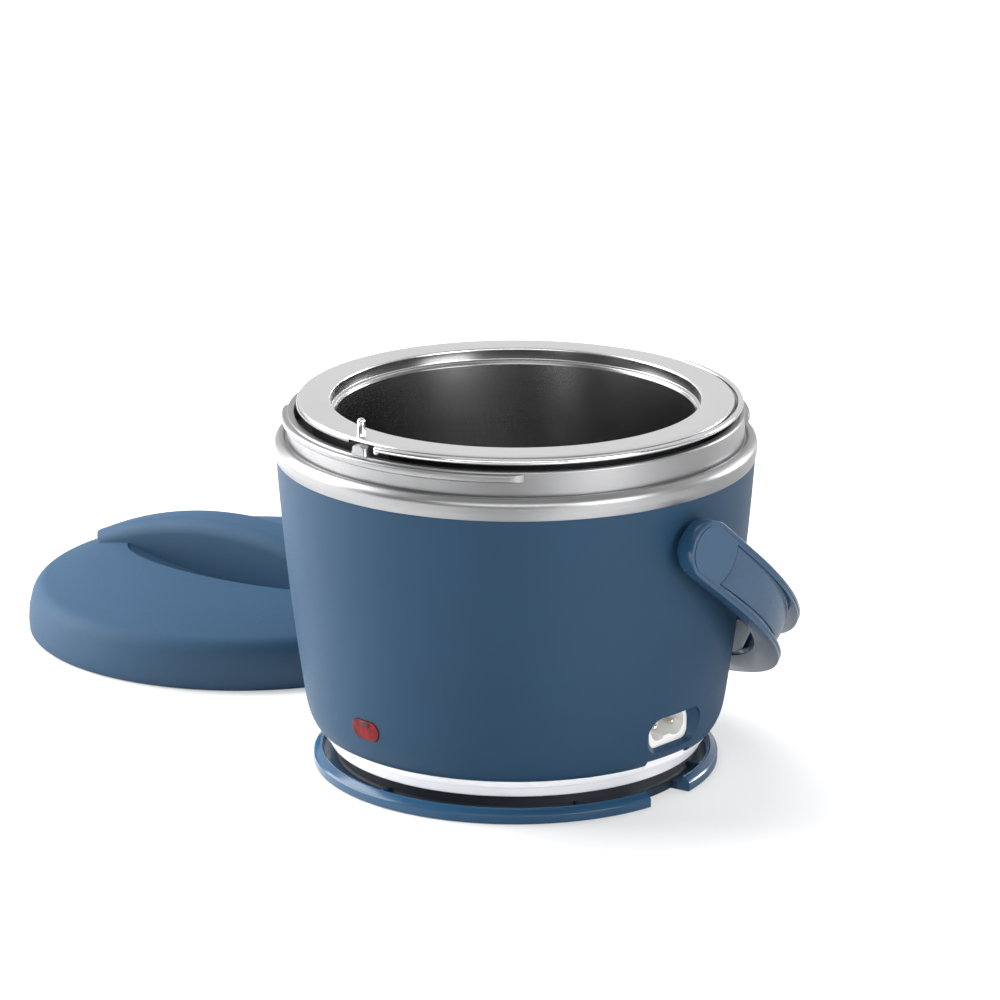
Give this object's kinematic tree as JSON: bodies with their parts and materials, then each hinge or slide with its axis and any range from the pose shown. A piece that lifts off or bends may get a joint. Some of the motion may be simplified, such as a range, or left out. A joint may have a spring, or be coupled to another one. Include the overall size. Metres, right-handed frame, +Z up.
{
  "type": "electric lunch box",
  "caption": "Round heated lunch box: blue base with a silver collar, lift-out steel container, swinging carry handle folded behind, and a twist-on lid lying beside it.",
  "frame": {"origin": "on the table under the centre of the base, on the underside of its cord ring", "axes": "+Z up, the power light faces -Y, the power inlet and one handle pivot are on +X, the folded handle is behind the base on +Y, and the lid lies on -X"},
  "size_m": [0.3331, 0.1947, 0.1302],
  "materials": {
    "body_blue": "soft satin",
    "satin_silver": "satin metallic paint",
    "black_plastic": "matte",
    "well_aluminium": "spun",
    "heater_mica": "dull",
    "zinc_steel": "zinc plated",
    "glass_fibre": "woven",
    "thermostat_body": "matte",
    "fuse_white": "matte",
    "white_plastic": "gloss",
    "gloss_blue": "high gloss",
    "black_rubber": "matte",
    "inlet_white": "satin",
    "nickel_pins": "nickel plated",
    "red_lens": "translucent gloss",
    "lamp_glass": "clear",
    "wire_sheath": "matte",
    "handle_blue": "satin gloss",
    "grip_blue": "soft touch",
    "steel_sheet": "satin",
    "steel_small": "satin",
    "bright_pin": "polished",
    "steel_wire": "bright drawn",
    "lid_blue": "soft touch",
    "liner_grey": "satin",
    "silicone": "translucent white"
  },
  "bodies": {
    "base": {"outer_shell": "body_blue", "collar": "satin_silver", "neck_post": "satin_silver", "well_trim": "black_plastic", "heating_well": "well_aluminium", "heating_band": "heater_mica", "band_screw": "zinc_steel", "insulation_wrap": "glass_fibre", "thermostat": "thermostat_body", "thermal_fuse": "fuse_white", "base_pan": "white_plastic", "cord_wrap_base": "gloss_blue", "rubber_feet": "black_rubber", "base_screws": "zinc_steel", "inlet_housing": "inlet_white", "inlet_pins": "nickel_pins", "power_light_lens": "red_lens", "lamp_bracket": "black_plastic", "indicator_lamp": "lamp_glass", "lead_wires": "wire_sheath"},
    "carry_handle": {"handle": "handle_blue", "grip_cover": "grip_blue", "handle_retainers": "black_plastic", "handle_screws": "zinc_steel"},
    "container": {"food_container": "steel_sheet", "bail_ears": "steel_small", "locating_pin": "bright_pin"},
    "bail": {"container_bail": "steel_wire"},
    "lid": {"lid_shell": "lid_blue", "lid_liner": "liner_grey", "lid_gasket": "silicone"}
  },
  "joints": [
    {"name": "handle_swing", "type": "hinge", "parent": "base", "child": "carry_handle", "pos_m": [0, 0, 0.0897], "axis": [1, 0, 0], "range_deg": [0, 257]},
    {"name": "container_lift", "type": "slide", "parent": "base", "child": "container", "axis": [0, 0, 1], "range_m": [0, 0.12]},
    {"name": "bail_swing", "type": "hinge", "parent": "container", "child": "bail", "pos_m": [0.0088, 0, 0.1219], "axis": [0, -1, 0], "range_deg": [0, 110]},
    {"name": "lid_lift", "type": "slide", "parent": "base", "child": "lid", "axis": [0, 0, 1], "range_m": [0, 0.15]}
  ]
}
